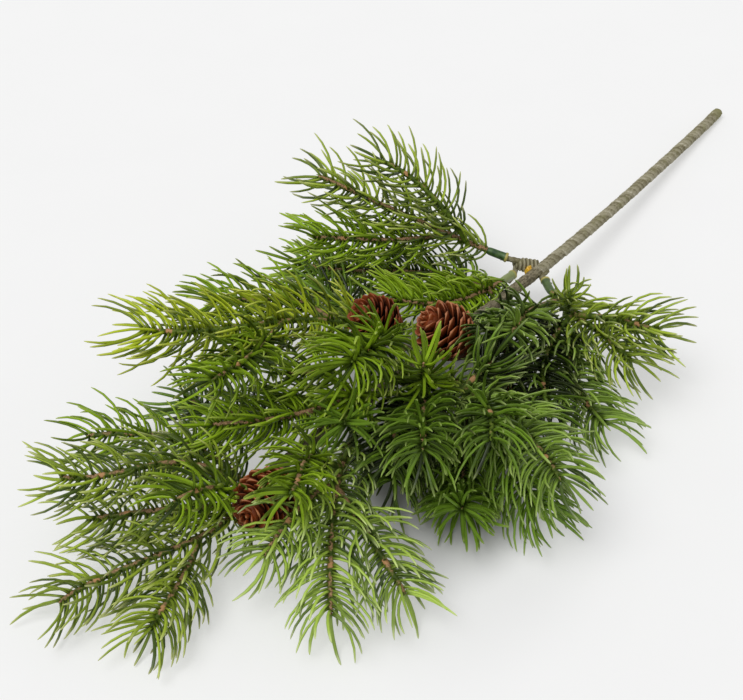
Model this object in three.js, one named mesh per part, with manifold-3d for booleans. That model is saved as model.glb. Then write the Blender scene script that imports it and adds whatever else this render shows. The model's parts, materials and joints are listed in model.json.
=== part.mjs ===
// A hemlock spray lying on a table: a taped wire stem, moulded needle sprays on side wires, three cones.
// Millimetres, +Z up. +X runs along the stem from the leafy tip to the cut end.
import * as THREE from 'three';
import { mergeVertices } from 'three/addons/utils/BufferGeometryUtils.js';
import Module from 'manifold-3d';

const wasm = await Module();
wasm.setup();
const { Manifold, Mesh: SolidMesh } = wasm;

// Stem and side wires, all wrapped in paper tape
const STEM_RADIUS = 2.3;
const WIRE_RADIUS = 1.1;
const STEM_SIDES = 8;
const STEM_STEPS = 24;
const WIRE_SIDES = 5;
const WIRE_STEPS = 3;
const GAP = 0.3;

// Moulded sprays: a sleeve that slips over the wire, a twig that tapers, needles on four sides of it
const SLEEVE_RADIUS = 1.7;
const SLEEVE_LIP = 2.05;
const SLEEVE_LENGTH = 7;
const SLEEVE_SIDES = 7;
const TWIG_BASE_RADIUS = 1.35;
const TWIG_TIP_RADIUS = 1;
const TWIG_SIDES = 4;
const WHORL_STEP = 4.5;
const WHORL_TWIST = 0.45;
const BARE_LEADER = 8.5;
const BARE_SPRIG = 4;

// Needles: chord length, half width, the angle between needle and twig at the base and at the tip of a twig,
// the share of a needle that may touch its neighbours, and the least slope at which it leaves the twig's skin
const NEEDLE_LENGTH = 18.5;
const NEEDLE_FOOT = WHORL_STEP * 0.55;
const NEEDLE_POINT = 0.08;
const NEEDLE_SPREAD = 1.0;
const NEEDLE_SPREAD_TIP = 0.5;
const NEEDLE_CLEARANCE = 0.2;
const NEEDLE_ROOTED = 0.2;
const NEEDLE_RISE = 0.35;

// Cones
const CONE_LENGTH = 26.5;
const CONE_RADIUS = 10.4;
const CONE_ROWS = 8;
const CONE_SCALES_IN_ROW = 5;
const CONE_WIRE_RADIUS = 0.9;

// Tape binding round the first side wires, and the bead of glue between it and the stem
const BINDING_RADIUS = 2.9;
const BINDING_RIDGE = 0.35;
const BINDING_TURNS = 4;
const GLUE_RADIUS = 2.2;

const TAPE = new THREE.MeshStandardMaterial({ color: 0x8a8568, roughness: 0.85, metalness: 0 });
const GREEN = {
  light: new THREE.MeshStandardMaterial({ color: 0x71882f, roughness: 0.45, metalness: 0 }),
  mid: new THREE.MeshStandardMaterial({ color: 0x5c742f, roughness: 0.45, metalness: 0 }),
  dark: new THREE.MeshStandardMaterial({ color: 0x496128, roughness: 0.45, metalness: 0 }),
};
const CONE_BROWN = new THREE.MeshStandardMaterial({ color: 0x6b3a22, roughness: 0.5, metalness: 0 });
const GLUE = new THREE.MeshStandardMaterial({ color: 0xc79a2e, roughness: 0.35, metalness: 0 });

// The stem rests on its cut end, rises to the first side wires and ends inside the leafy tip.
const STEM_POINTS = [
  [161, 7, 2.3], [116, 4.2, 5.5], [73, 1.5, 10], [34, -0.6, 14], [0, -1.2, 17],
  [-28, -1.5, 20], [-70, 1, 22], [-102, 4, 21], [-131, 8, 19], [-151, 11, 16],
];

// Each spray leaves the stem at x = leaves, at its end, or from the binding. Its leader runs through points.
// Each side sprig leaves the leader at a share of its length and runs through points to its tip.
const SPRAYS = [
  {
    name: 'crown', leaves: -80, shade: 'mid',
    leader: [[-86, -8, 24], [-99, -17.5, 38], [-106, -22, 54]],
    sprigs: [
      { at: 0.16, shade: 'dark', points: [[-112, -27, 39], [-129, -39, 44]] },
      { at: 0.22, shade: 'dark', points: [[-113, -18, 31], [-128, -24, 27]] },
    ],
  },
  {
    name: 'left', leaves: -64, shade: 'light',
    leader: [[-71, 13, 18.5], [-85, 36, 29.5], [-118, 45, 43], [-147, 66, 50]],
    sprigs: [
      { at: 0.5, shade: 'mid', points: [[-133, 32, 47], [-152, 30, 52]] },
      { at: 0.1, shade: 'mid', points: [[-92, 5, 43], [-121, -4, 57]] },
      { at: 0.28, shade: 'mid', points: [[-88, 50, 33], [-109, 70, 36]] },
      { at: 0.16, shade: 'dark', points: [[-64, 44, 16], [-60, 61, 14]] },
    ],
  },
  {
    name: 'front', leaves: -110, shade: 'light',
    leader: [[-119, -3, 22], [-140, -13, 25], [-163, -28, 22], [-181, -42, 15]],
    sprigs: [
      { at: 0.3, shade: 'mid', points: [[-145, -7, 34], [-170, -18, 44]] },
      { at: 0.36, shade: 'light', points: [[-162, -14, 27], [-181, -16, 24]] },
      { at: 0.4, shade: 'light', points: [[-153, -36, 20], [-160, -55, 14]] },
      { at: 0.06, shade: 'dark', points: [[-124, -5, 33], [-133, -10, 41]] },
    ],
  },
  {
    name: 'front_right', leaves: -73, shade: 'light',
    leader: [[-79, -9, 24], [-91, -45, 34], [-99, -65, 36], [-106, -77, 36]],
    sprigs: [
      { at: 0.32, shade: 'dark', points: [[-100.5, -46, 42], [-111, -53.5, 44]] },
      { at: 0.5, shade: 'dark', points: [[-97, -57, 18], [-101, -67, 12]] },
      { at: 0.26, shade: 'dark', points: [[-104.5, -39, 8.5], [-119.5, -49, 14]] },
      { at: 0.16, shade: 'dark', points: [[-104, -15, 16], [-122, -21.5, 13]] },
      { at: 0.2, shade: 'dark', points: [[-81, -26, 32], [-74, -28, 36]] },
    ],
  },
  {
    name: 'tip', leaves: 'end', shade: 'light',
    leader: [[-152.5, 11, 15.8], [-183, 9, 15], [-199, 20, 13], [-228, 31, 10]],
    sprigs: [
      { at: 0.42, shade: 'light', points: [[-193, 7, 13], [-218, 1, 10]] },
      { at: 0.18, shade: 'light', points: [[-181, 22, 19], [-202, 43, 18]] },
      { at: 0.1, shade: 'light', points: [[-166, 26, 26], [-181, 35, 30], [-203, 52, 32]] },
      { at: 0.06, shade: 'mid', points: [[-157, 45, 18], [-174, 71, 18]] },
      { at: 0.14, shade: 'mid', points: [[-176, 10, 33], [-192, 11, 40]] },
    ],
  },
  {
    name: 'middle', leaves: -99, shade: 'mid',
    leader: [[-108, 5, 27], [-132, 11, 31], [-144, 21, 32], [-154, 30, 32]],
    sprigs: [
      { at: 0.12, shade: 'mid', points: [[-112, 13, 34], [-123, 22, 38]] },
      { at: 0.4, shade: 'dark', points: [[-133, 38, 17], [-136, 62, 11]] },
      { at: 0.2, shade: 'mid', points: [[-113, 0, 34], [-122, -3.5, 41]] },
    ],
  },
  {
    name: 'rear_left', leaves: 'binding', shade: 'light',
    leader: [[-6.5, 10.5, 21], [-16, 31, 28], [-27, 53, 38], [-39.5, 76.5, 49]],
    sprigs: [
      { at: 0.2, shade: 'light', points: [[-17, 30, 36], [-18.5, 41, 47], [-24, 59, 56]] },
      { at: 0.31, shade: 'mid', points: [[-33, 44, 30], [-54, 67, 33]] },
    ],
  },
  {
    name: 'rear_low', leaves: 'binding', shade: 'mid',
    leader: [[-7.5, 7, 15], [-24, 7, 18], [-48, 14, 23], [-60, 24, 28]],
    sprigs: [
      { at: 0.26, shade: 'mid', points: [[-27, 36, 14], [-46, 66, 12], [-49, 81, 10]] },
    ],
  },
  {
    name: 'right', leaves: -1, shade: 'light',
    leader: [[-5, -6.5, 17], [-18, -25, 20], [-24, -42, 24], [-31, -59, 24]],
    sprigs: [
      { at: 0.46, shade: 'light', points: [[-20, -41, 27], [-16, -61, 29]] },
      { at: 0.5, shade: 'mid', points: [[-43, -42, 17], [-53, -63, 12]] },
      { at: 0.42, shade: 'dark', points: [[-50, -35, 22], [-70, -51, 22]] },
      { at: 0.24, shade: 'mid', points: [[-41.5, -22, 34], [-63.5, -29.5, 44]] },
      { at: 0.3, shade: 'mid', points: [[-19, -25.5, 23], [-20.5, -26.5, 30]] },
    ],
  },
  {
    name: 'inner_right', leaves: -26, shade: 'dark',
    leader: [[-33, -8, 21], [-47, -16, 30], [-63, -23, 38]],
    sprigs: [
      { at: 0.5, shade: 'dark', points: [[-58, -25, 20], [-70, -36, 14]] },
    ],
  },
];

// Cones: size against the largest, middle of the base, way to the apex, and where their wire leaves the stem
const CONES = [
  { name: 'cone_rear', size: 1, base: [-63, -12.8, 25.2], apex: [-74.6, 2, 42.2], leaves: -50 },
  { name: 'cone_middle', size: 0.9, base: [-75, 12.2, 28], apex: [-87.5, 20.5, 43], leaves: -58 },
  { name: 'cone_tip', size: 1, base: [-153, -1, 23.5], apex: [-177, -3.5, 28], leaves: -136 },
];

const vec = (p) => new THREE.Vector3(...p);
const mix = (a, b, t) => a + (b - a) * t;

function solidOf(geometry) {
  const plain = new THREE.BufferGeometry();
  plain.setAttribute('position', geometry.getAttribute('position'));
  if (geometry.index) plain.setIndex(geometry.index);
  const merged = mergeVertices(plain, 1e-4);
  return new Manifold(new SolidMesh({
    numProp: 3,
    vertProperties: new Float32Array(merged.getAttribute('position').array),
    triVerts: new Uint32Array(merged.index.array),
  }));
}

function geometryOf(solid) {
  const mesh = solid.getMesh();
  const geometry = new THREE.BufferGeometry();
  geometry.setAttribute('position', new THREE.BufferAttribute(new Float32Array(mesh.vertProperties), 3));
  geometry.setIndex(Array.from(mesh.triVerts));
  geometry.computeVertexNormals();
  return geometry;
}

function circle(radius, sides) {
  const corners = [];
  for (let i = 0; i < sides; i += 1) {
    const turn = ((i + 0.5) / sides) * Math.PI * 2;
    corners.push(new THREE.Vector2(Math.cos(turn) * radius, Math.sin(turn) * radius));
  }
  return new THREE.Shape(corners);
}

function tube(curve, radius, sides, steps) {
  return new THREE.ExtrudeGeometry(circle(radius, sides), { steps, bevelEnabled: false, extrudePath: curve });
}

function part(curve, from, to) {
  const points = [];
  for (let i = 0; i <= 6; i += 1) points.push(curve.getPointAt(mix(from, to, i / 6)));
  return new THREE.CatmullRomCurve3(points);
}

// Closest approach of two straight pieces: distance, and where on each it is.
function nearest(a0, a1, b0, b1) {
  const u = a1.clone().sub(a0);
  const v = b1.clone().sub(b0);
  const w = a0.clone().sub(b0);
  const uu = u.dot(u);
  const uv = u.dot(v);
  const vv = v.dot(v);
  const uw = u.dot(w);
  const vw = v.dot(w);
  const clamp = (x) => Math.min(1, Math.max(0, x));
  const even = uu * vv - uv * uv;
  let s = even > 1e-9 ? clamp((uv * vw - vv * uw) / even) : 0;
  const t = clamp((uv * s + vw) / vv);
  s = clamp((uv * t - uw) / uu);
  const gap = a0.clone().addScaledVector(u, s).distanceTo(b0.clone().addScaledVector(v, t));
  return { gap, s, t };
}

// Everything placed so far, as straight tapered rods. A rod is clear if it keeps its distance from the others'.
const placed = [];

function place(owner, a, b, ra, rb, needle = false) {
  const middle = a.clone().add(b).multiplyScalar(0.5);
  placed.push({ owner, a, b, ra, rb, needle, middle, reach: a.distanceTo(b) / 2 + Math.max(ra, rb) });
}

function isClear(owner, a, b, ra, rb, room) {
  const middle = a.clone().add(b).multiplyScalar(0.5);
  const reach = a.distanceTo(b) / 2 + Math.max(ra, rb) + room;
  return placed.every((rod) => {
    if (rod.owner === owner || middle.distanceTo(rod.middle) > reach + rod.reach) return true;
    const { gap, s, t } = nearest(a, b, rod.a, rod.b);
    return gap > mix(ra, rb, s) + mix(rod.ra, rod.rb, t) + room;
  });
}

// Needles of one sprig touch at their roots, and keep apart further out.
function keepsApart(owner, foot, point) {
  const root = foot.clone().lerp(point, NEEDLE_ROOTED);
  const thick = mix(NEEDLE_FOOT, NEEDLE_POINT, NEEDLE_ROOTED);
  return placed.every((rod) => {
    if (rod.owner !== owner || !rod.needle) return true;
    const { gap, s, t } = nearest(root, point, rod.a.clone().lerp(rod.b, NEEDLE_ROOTED), rod.b);
    return gap > mix(thick, NEEDLE_POINT, s) + mix(thick, NEEDLE_POINT, t);
  });
}

function placeCurve(owner, curve, ra, rb, steps) {
  const points = curve.getSpacedPoints(steps);
  for (let i = 0; i < steps; i += 1) {
    place(owner, points[i], points[i + 1], mix(ra, rb, i / steps), mix(ra, rb, (i + 1) / steps));
  }
}

const group = new THREE.Group();

function add(name, geometry, material) {
  const mesh = new THREE.Mesh(geometry, material);
  mesh.name = name;
  group.add(mesh);
  return mesh;
}

// Stem
const stem = new THREE.CatmullRomCurve3(STEM_POINTS.map(vec));
add('main_stem', tube(stem, STEM_RADIUS, STEM_SIDES, STEM_STEPS), TAPE);
placeCurve('main_stem', stem, STEM_RADIUS, STEM_RADIUS, STEM_STEPS);
const stemRoom = solidOf(tube(stem, STEM_RADIUS + GAP, STEM_SIDES, STEM_STEPS));

function stemAt(x) {
  let best = 0;
  for (let i = 0; i <= 400; i += 1) {
    const here = Math.abs(stem.getPointAt(i / 400).x - x);
    if (here < Math.abs(stem.getPointAt(best).x - x)) best = i / 400;
  }
  return stem.getPointAt(best);
}

// Binding: tape wound in tight turns over the first wires where they leave the stem
const bindingFrom = new THREE.Vector3(0, 0, 17);
const bindingTo = new THREE.Vector3(-4.6, 7.2, 19);
const bindingLength = bindingFrom.distanceTo(bindingTo);
const bindingWay = bindingTo.clone().sub(bindingFrom).normalize();
const upright = new THREE.Vector3(0, 1, 0);

function bindingShape(room) {
  const profile = [new THREE.Vector2(0, -room), new THREE.Vector2(BINDING_RADIUS - BINDING_RIDGE + room, -room)];
  for (let i = 0; i < BINDING_TURNS; i += 1) {
    const crest = (bindingLength * (i + 0.5)) / BINDING_TURNS;
    const groove = (bindingLength * (i + 1)) / BINDING_TURNS + (i + 1 === BINDING_TURNS ? room : 0);
    profile.push(new THREE.Vector2(BINDING_RADIUS + room, crest));
    profile.push(new THREE.Vector2(BINDING_RADIUS - BINDING_RIDGE + room, groove));
  }
  profile.push(new THREE.Vector2(0, bindingLength + room));
  const shape = new THREE.LatheGeometry(profile, 7);
  shape.applyQuaternion(new THREE.Quaternion().setFromUnitVectors(upright, bindingWay));
  return solidOf(shape.translate(...bindingFrom.toArray()));
}

const binding = bindingShape(0).subtract(stemRoom);
const bindingRoom = bindingShape(GAP);
add('tape_binding', geometryOf(binding), TAPE);
place('tape_binding', bindingFrom, bindingTo, BINDING_RADIUS, BINDING_RADIUS);

// Glue: a bead squeezed out in the crook between the binding and the stem
const glueMiddle = new THREE.Vector3(-4.6, 0.6, 18);
const glueBall = new THREE.OctahedronGeometry(GLUE_RADIUS, 1).translate(...glueMiddle.toArray());
add('glue_bead', geometryOf(solidOf(glueBall).subtract(bindingRoom).subtract(stemRoom)), GLUE);
place('glue_bead', glueMiddle, glueMiddle.clone().add(new THREE.Vector3(0, 0, 0.01)), GLUE_RADIUS, GLUE_RADIUS);

// Cones: one shape set three times. Rows of scales, each row a rim of points over a notch, turned half a scale
// from the row below it.
function coneGeometry() {
  const columns = CONE_SCALES_IN_ROW * 2;
  const girth = (t) => CONE_RADIUS * Math.sin(Math.PI * (0.2 + 0.72 * t)) ** 0.75;
  const rings = [];
  for (let row = 0; row < CONE_ROWS; row += 1) {
    const low = row / CONE_ROWS;
    const rim = (row + 0.72) / CONE_ROWS;
    const ring = (share, reach, point) => {
      const corners = [];
      for (let i = 0; i < columns; i += 1) {
        const turn = ((i + row * 0.04) / columns) * Math.PI * 2;
        const out = (i + row) % 2 === 0 ? 1 : point;
        const radius = girth(share) * reach * out;
        const z = CONE_LENGTH * share * 0.97;
        corners.push(new THREE.Vector3(Math.cos(turn) * radius, Math.sin(turn) * radius, z));
      }
      return corners;
    };
    rings.push(ring(low, 0.68, 1), ring(rim, 1, 0.8));
  }
  const bottom = new THREE.Vector3(0, 0, 0);
  const top = new THREE.Vector3(0, 0, CONE_LENGTH);
  const skin = [];
  const face = (a, b, c) => skin.push(...a.toArray(), ...b.toArray(), ...c.toArray());
  for (let i = 0; i < columns; i += 1) {
    const j = (i + 1) % columns;
    face(bottom, rings[0][j], rings[0][i]);
    for (let k = 0; k + 1 < rings.length; k += 1) {
      face(rings[k][i], rings[k][j], rings[k + 1][j]);
      face(rings[k][i], rings[k + 1][j], rings[k + 1][i]);
    }
    const last = rings[rings.length - 1];
    face(last[i], last[j], top);
  }
  const geometry = new THREE.BufferGeometry();
  geometry.setAttribute('position', new THREE.Float32BufferAttribute(skin, 3));
  geometry.computeVertexNormals();
  return geometry;
}

const coneShape = coneGeometry();
const coneWires = [];
for (const { name, size, base, apex, leaves } of CONES) {
  const from = vec(base);
  const way = vec(apex).sub(from).normalize();
  const mesh = add(name, coneShape.clone().scale(size, size, size), CONE_BROWN);
  mesh.quaternion.setFromUnitVectors(new THREE.Vector3(0, 0, 1), way);
  mesh.position.copy(from);
  const inside = (t) => from.clone().addScaledVector(way, CONE_LENGTH * size * t);
  const girth = CONE_RADIUS * size;
  place(name, inside(0.15), inside(0.5), girth * 0.85, girth * 1.05);
  place(name, inside(0.5), inside(0.95), girth * 1.05, girth * 0.5);
  coneWires.push({ name: `${name}_wire`, from: stemAt(leaves), to: inside(0).addScaledVector(way, -GAP), way });
}

// Cone wires: thin taped wires from the stem to the middle of a cone's base
for (const { name, from, to, way } of coneWires) {
  const bend = to.clone().addScaledVector(way, -6);
  const curve = new THREE.CatmullRomCurve3([from, bend, to.clone().addScaledVector(way, -0.4)]);
  add(name, geometryOf(solidOf(tube(curve, CONE_WIRE_RADIUS, WIRE_SIDES, WIRE_STEPS)).subtract(stemRoom)), TAPE);
  placeCurve(name, curve, CONE_WIRE_RADIUS, CONE_WIRE_RADIUS, WIRE_STEPS);
}

// Side wires: from the stem, or from the binding, to the mouth of a spray's sleeve
const twigs = [];
for (const spray of SPRAYS) {
  const leader = new THREE.CatmullRomCurve3(spray.leader.map(vec));
  twigs.push({ name: `${spray.name}_leader`, curve: leader, shade: spray.shade, start: 0, sleeve: true });
  spray.sprigs.forEach(({ at, shade, points }, i) => {
    const curve = new THREE.CatmullRomCurve3([leader.getPointAt(at), ...points.map(vec)]);
    twigs.push({ name: `${spray.name}_sprig_${i + 1}`, curve, shade, start: null, sleeve: false });
  });
  if (spray.leaves === 'end') continue;
  const mouth = leader.getPointAt(0).addScaledVector(leader.getTangentAt(0), -GAP);
  const back = mouth.clone().addScaledVector(leader.getTangentAt(0), -2.5);
  const name = `${spray.name}_wire`;
  const bound = spray.leaves === 'binding';
  const rise = Math.sign(mouth.z - bindingTo.z) * BINDING_RADIUS * 0.55;
  const root = bound ? bindingTo.clone().add(new THREE.Vector3(0, 0, rise)) : stemAt(spray.leaves);
  const curve = new THREE.CatmullRomCurve3([root, back, mouth]);
  let wire = solidOf(tube(curve, WIRE_RADIUS, WIRE_SIDES, WIRE_STEPS)).subtract(stemRoom);
  if (bound) wire = wire.subtract(bindingRoom);
  add(name, geometryOf(wire), TAPE);
  placeCurve(name, curve, WIRE_RADIUS, WIRE_RADIUS, WIRE_STEPS);
}

// Twigs: each leader starts at its sleeve's mouth, each side sprig where it stands clear of its leader.
for (const twig of twigs) {
  const length = twig.curve.getLength();
  const sleeveShare = twig.sleeve ? SLEEVE_LENGTH / length : 0;
  twig.length = length;
  twig.bare = twig.sleeve ? BARE_LEADER - SLEEVE_LENGTH : BARE_SPRIG;
  if (twig.sleeve) {
    placeCurve(twig.name, part(twig.curve, 0, sleeveShare), SLEEVE_LIP, SLEEVE_RADIUS, 3);
    placeCurve(twig.name, part(twig.curve, sleeveShare, 1), TWIG_BASE_RADIUS, TWIG_TIP_RADIUS, 12);
    twig.start = sleeveShare - 2 / length;
    continue;
  }
  twig.start = 0;
  const free = (share) => {
    const a = twig.curve.getPointAt(share);
    const b = twig.curve.getPointAt(share + 2 / length);
    return isClear(twig.name, a, b, TWIG_BASE_RADIUS, TWIG_BASE_RADIUS, GAP);
  };
  while (twig.start < 0.4 && !free(twig.start)) twig.start += 0.25 / length;
  placeCurve(twig.name, part(twig.curve, twig.start, 1), TWIG_BASE_RADIUS, TWIG_TIP_RADIUS, 12);
}

// A small even scatter that is the same each time
const scatter = (i) => ((i * 0.61803398875 + 0.37) % 1) * 2 - 1;

// Needle from foot along way, or its first turned or shortened form that stands clear of the rest and off the
// twig's skin, or null. Front is the way the skin faces at the foot.
function needle(owner, foot, front, way, along, length, seed) {
  for (const [size, lean] of [[1, 0], [1, 0.35], [0.9, -0.2], [0.8, 0.7], [0.62, 0.2], [0.45, 0]]) {
    for (const turn of [0, 0.3, -0.3]) {
      const leaning = way.clone().addScaledVector(along, lean).normalize();
      leaning.applyAxisAngle(along, turn + 0.1 * scatter(seed));
      const point = foot.clone().addScaledVector(leaning, length * size * (1 + 0.08 * scatter(seed + 5)));
      point.z = Math.max(point.z, 0);
      if (point.clone().sub(foot).normalize().dot(front) < NEEDLE_RISE) continue;
      const clear = isClear(owner, foot, point, NEEDLE_FOOT, NEEDLE_POINT, NEEDLE_CLEARANCE);
      if (clear && keepsApart(owner, foot, point)) {
        place(owner, foot, point, NEEDLE_FOOT, NEEDLE_POINT, true);
        return point;
      }
    }
  }
  return null;
}

// A twig with its needles as one closed skin: rings of four corners, and on each panel between two rings a needle
// of four faces, or a plain panel where the twig is bare or a needle has no room.
function sprigGeometry(twig) {
  const { curve, name, length, start, bare } = twig;
  const reach = length * (1 - start);
  const whorls = Math.max(3, Math.round((reach - bare) / WHORL_STEP));
  const stations = [start, start + bare / length / 2];
  for (let k = 0; k <= whorls; k += 1) stations.push(mix(start + bare / length, 1, k / whorls));
  const rings = stations.map((share, k) => {
    const middle = curve.getPointAt(share);
    const along = curve.getTangentAt(share);
    const up = new THREE.Vector3(0, 0, 1).addScaledVector(along, -along.z).normalize();
    const side = new THREE.Vector3().crossVectors(along, up);
    const radius = mix(TWIG_BASE_RADIUS, TWIG_TIP_RADIUS, (share - start) / (1 - start));
    const corners = [];
    for (let i = 0; i < TWIG_SIDES; i += 1) {
      const turn = (i / TWIG_SIDES) * Math.PI * 2 + k * WHORL_TWIST;
      corners.push(middle.clone().addScaledVector(up, Math.cos(turn) * radius)
        .addScaledVector(side, Math.sin(turn) * radius));
    }
    return { middle, along, corners };
  });
  const skin = [];
  const face = (a, b, c) => skin.push(...a.toArray(), ...b.toArray(), ...c.toArray());
  const first = rings[0].corners;
  face(first[0], first[2], first[1]);
  face(first[0], first[3], first[2]);
  for (let k = 0; k + 1 < rings.length; k += 1) {
    const along = rings[k].along;
    const t = Math.max(0, k - 2) / whorls;
    for (let i = 0; i < TWIG_SIDES; i += 1) {
      const j = (i + 1) % TWIG_SIDES;
      const [a, b] = [rings[k].corners[i], rings[k].corners[j]];
      const [c, d] = [rings[k + 1].corners[j], rings[k + 1].corners[i]];
      const foot = a.clone().add(b).add(c).add(d).multiplyScalar(0.25);
      const spine = rings[k].middle.clone().add(rings[k + 1].middle).multiplyScalar(0.5);
      const out = foot.clone().sub(spine).normalize();
      const spread = mix(NEEDLE_SPREAD, NEEDLE_SPREAD_TIP, t * t);
      const way = along.clone().multiplyScalar(Math.cos(spread)).addScaledVector(out, Math.sin(spread));
      const seed = k * TWIG_SIDES + i;
      const front = c.clone().sub(a).cross(d.clone().sub(b)).normalize();
      const point = k < 2 ? null : needle(name, foot, front, way, along, NEEDLE_LENGTH, seed);
      if (point) {
        face(a, b, point);
        face(b, c, point);
        face(c, d, point);
        face(d, a, point);
      } else {
        face(a, b, c);
        face(a, c, d);
      }
    }
  }
  const last = rings[rings.length - 1];
  const tip = needle(name, last.middle, last.along, last.along, last.along, NEEDLE_LENGTH * 0.85, 3)
    ?? last.middle.clone().addScaledVector(last.along, 1.5);
  for (let i = 0; i < TWIG_SIDES; i += 1) face(last.corners[i], last.corners[(i + 1) % TWIG_SIDES], tip);
  const geometry = new THREE.BufferGeometry();
  geometry.setAttribute('position', new THREE.Float32BufferAttribute(skin, 3));
  return geometry;
}

// Sleeve: a short smooth tube with a lip at its mouth
function sleeveSolid(curve, length) {
  const mouth = curve.getPointAt(0);
  const way = curve.getPointAt(SLEEVE_LENGTH / length).sub(mouth).normalize();
  const profile = [
    [0, 0], [SLEEVE_LIP, 0], [SLEEVE_LIP, 1.4], [SLEEVE_RADIUS, 1.7],
    [SLEEVE_RADIUS, SLEEVE_LENGTH], [0, SLEEVE_LENGTH],
  ];
  const shape = new THREE.LatheGeometry(profile.map((p) => new THREE.Vector2(...p)), SLEEVE_SIDES);
  shape.applyQuaternion(new THREE.Quaternion().setFromUnitVectors(upright, way));
  return solidOf(shape.translate(...mouth.toArray()));
}

for (const twig of twigs) {
  const geometry = sprigGeometry(twig);
  const solid = solidOf(geometry);
  const whole = twig.sleeve ? solid.add(sleeveSolid(twig.curve, twig.length)) : solid;
  add(twig.name, geometryOf(whole), GREEN[twig.shade]);
}

// The origin is the middle of the footprint, on the table.
const box = new THREE.Box3().setFromObject(group, true);
const middle = box.getCenter(new THREE.Vector3());
group.position.set(-middle.x, -middle.y, -box.min.z);

export default group;
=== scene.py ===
import json
import math

import bpy
import numpy as np
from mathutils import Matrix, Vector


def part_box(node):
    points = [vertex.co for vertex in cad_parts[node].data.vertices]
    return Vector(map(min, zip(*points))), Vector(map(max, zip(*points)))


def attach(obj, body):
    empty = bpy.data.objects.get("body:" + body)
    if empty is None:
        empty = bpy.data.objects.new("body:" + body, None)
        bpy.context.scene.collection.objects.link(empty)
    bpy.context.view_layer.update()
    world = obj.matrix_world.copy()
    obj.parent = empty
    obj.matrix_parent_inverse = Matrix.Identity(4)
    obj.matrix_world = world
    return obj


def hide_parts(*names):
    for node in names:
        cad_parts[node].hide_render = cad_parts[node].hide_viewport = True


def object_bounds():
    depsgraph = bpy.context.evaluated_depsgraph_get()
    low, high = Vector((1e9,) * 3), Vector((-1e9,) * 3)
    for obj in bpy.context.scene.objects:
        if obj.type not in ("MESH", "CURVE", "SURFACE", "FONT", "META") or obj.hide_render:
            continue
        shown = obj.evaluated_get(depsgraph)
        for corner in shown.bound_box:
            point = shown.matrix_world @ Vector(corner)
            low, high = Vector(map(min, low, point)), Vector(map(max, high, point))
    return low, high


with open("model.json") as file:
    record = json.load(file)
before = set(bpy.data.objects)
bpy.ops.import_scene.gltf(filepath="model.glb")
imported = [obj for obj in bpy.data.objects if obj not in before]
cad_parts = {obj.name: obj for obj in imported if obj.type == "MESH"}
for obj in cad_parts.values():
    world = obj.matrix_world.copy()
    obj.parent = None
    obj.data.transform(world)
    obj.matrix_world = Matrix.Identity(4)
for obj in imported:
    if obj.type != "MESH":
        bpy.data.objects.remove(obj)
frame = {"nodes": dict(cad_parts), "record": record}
cad_box = [list(corner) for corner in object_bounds()]

# Main stem: one long steel wire, spirally wrapped in stretched grey-olive paper tape.
# Each turn of the tape overlaps the last by half, so its free edge stands up as a slanting step.
STEM_RADIUS = 0.0023
STEM_SAMPLE = 0.00042
STEM_SIDES = 22
STEM_DEGREE = 7
CUT_ROUNDING = 0.0016
CUT_LEAST = 0.08
TAPE_PITCH = 0.0034
TAPE_BROAD_PITCHES = 3.6
TAPE_STEP = 0.00021
TAPE_WRINKLE = 0.00009
TAPE_SHADOWED = "6e674c"
TAPE_PLAIN = "a29c84"
TAPE_EDGE_HIGHLIGHT = "d2cdba"
TAPE_OLIVE = "87845e"
TAPE_WORN_AND_GROOVE_SHADE = "3c3528"
TAPE_WORN_PALE = "8f846c"
DECIMETRES = 10
OLIVE_UNTIL = (0.02, 0.10)
WORN_FROM = (1.60, 1.72)
LINE_CHORDS = 80
CELL_FILLED = (0.98, 0.92)
CAP_ROOM = 0.08
CAP_MIDDLE = 0.038
CAP_HALF = (0.035, 0.4)
WHOLE_SHEET = np.array([[0.0, 0.0, 1.0, 1.0]])


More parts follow.
